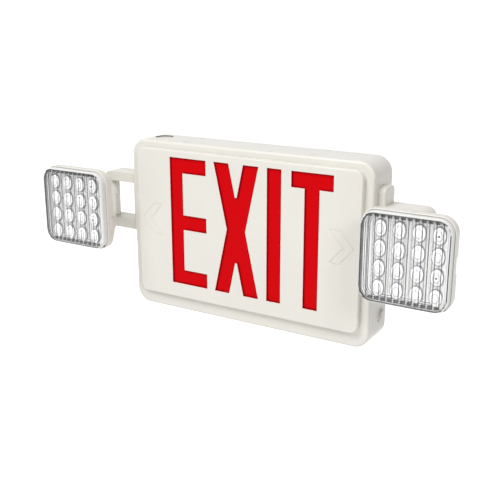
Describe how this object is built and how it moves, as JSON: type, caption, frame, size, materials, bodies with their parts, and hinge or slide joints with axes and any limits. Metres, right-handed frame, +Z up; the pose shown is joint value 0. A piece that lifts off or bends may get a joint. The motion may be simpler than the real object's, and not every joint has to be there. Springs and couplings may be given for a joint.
{
  "type": "emergency exit light",
  "caption": "Wall-mounted emergency exit sign with red stencil-faced letters and two adjustable square lamp heads on side yokes.",
  "frame": {"origin": "middle of the back plate's rear face, where the unit meets the wall", "axes": "+X along the wall to the right as seen from the front, +Y into the wall, +Z up; the sign faces -Y"},
  "size_m": [0.5124, 0.099, 0.2046],
  "materials": {
    "white_plastic": "satin moulded ABS, warm white",
    "red_lens": "translucent red acrylic",
    "opal_diffuser": "opal acrylic",
    "white_tray": "high-reflectance white ABS",
    "circuit_board": "glass-epoxy board with green mask",
    "white_circuit_board": "metal-core board with white mask",
    "red_led": "LED package with red epoxy",
    "white_led": "LED package with phosphor",
    "zinc_steel": "zinc-plated steel",
    "transformer_iron": "laminated core and taped winding",
    "black_component": "moulded component case",
    "terminal_green": "moulded terminal block",
    "battery_wrap": "shrink-wrapped cells",
    "button_white": "polished moulded cap",
    "indicator_red": "clear red light pipe",
    "black_switch": "moulded switch case",
    "clear_lens": "clear polycarbonate, fluted",
    "reflector_plating": "vacuum-metallised plastic"
  },
  "bodies": {
    "housing": {"front_cover": "white_plastic", "housing_frame": "white_plastic", "back_plate": "white_plastic", "red_lens": "red_lens", "diffuser": "opal_diffuser", "light_tray": "white_tray", "led_strip_top": "white_circuit_board", "strip_leds_top": "red_led", "led_strip_bottom": "white_circuit_board", "strip_leds_bottom": "red_led", "control_board": "circuit_board", "board_screws": "zinc_steel", "transformer": "transformer_iron", "capacitor": "black_component", "relay": "black_component", "terminal_block": "terminal_green", "battery_pack": "battery_wrap", "battery_strap": "zinc_steel", "button_collar": "white_plastic", "test_switch": "black_switch", "charge_indicator": "indicator_red", "right_bracket": "white_plastic", "right_bracket_screws": "zinc_steel", "right_pan_pin": "white_plastic", "left_bracket": "white_plastic", "left_bracket_screws": "zinc_steel", "left_pan_pin": "white_plastic"},
    "test_button": {"test_button": "button_white"},
    "right_knuckle": {"right_knuckle": "white_plastic"},
    "right_head": {"right_head_shell": "white_plastic", "right_head_clevis": "white_plastic", "right_clevis_screws": "zinc_steel", "right_tilt_screw": "zinc_steel", "right_lamp_board": "white_circuit_board", "right_lamp_leds": "white_led", "right_reflector": "reflector_plating", "right_lamp_lens": "clear_lens"},
    "left_knuckle": {"left_knuckle": "white_plastic"},
    "left_head": {"left_head_shell": "white_plastic", "left_head_clevis": "white_plastic", "left_clevis_screws": "zinc_steel", "left_tilt_screw": "zinc_steel", "left_lamp_board": "white_circuit_board", "left_lamp_leds": "white_led", "left_reflector": "reflector_plating", "left_lamp_lens": "clear_lens"}
  },
  "joints": [
    {"name": "right_lamp_pan", "type": "hinge", "parent": "housing", "child": "right_knuckle", "pos_m": [0.2045, -0.024, 0.02125], "axis": [0, 0, 1], "range_deg": [-8, 60]},
    {"name": "right_lamp_tilt", "type": "hinge", "parent": "right_knuckle", "child": "right_head", "pos_m": [0.2045, -0.048, 0.02125], "axis": [1, 0, 0], "range_deg": [-25, 25]},
    {"name": "left_lamp_pan", "type": "hinge", "parent": "housing", "child": "left_knuckle", "pos_m": [-0.2045, -0.024, 0.02125], "axis": [0, 0, -1], "range_deg": [-8, 60]},
    {"name": "left_lamp_tilt", "type": "hinge", "parent": "left_knuckle", "child": "left_head", "pos_m": [-0.2045, -0.048, 0.02125], "axis": [1, 0, 0], "range_deg": [-25, 25]},
    {"name": "test_button_press", "type": "slide", "parent": "housing", "child": "test_button", "axis": [-1, 0, 0], "range_m": [0, 0.0015], "stiffness_N_per_m": 600, "springref_m": -0.0005}
  ]
}
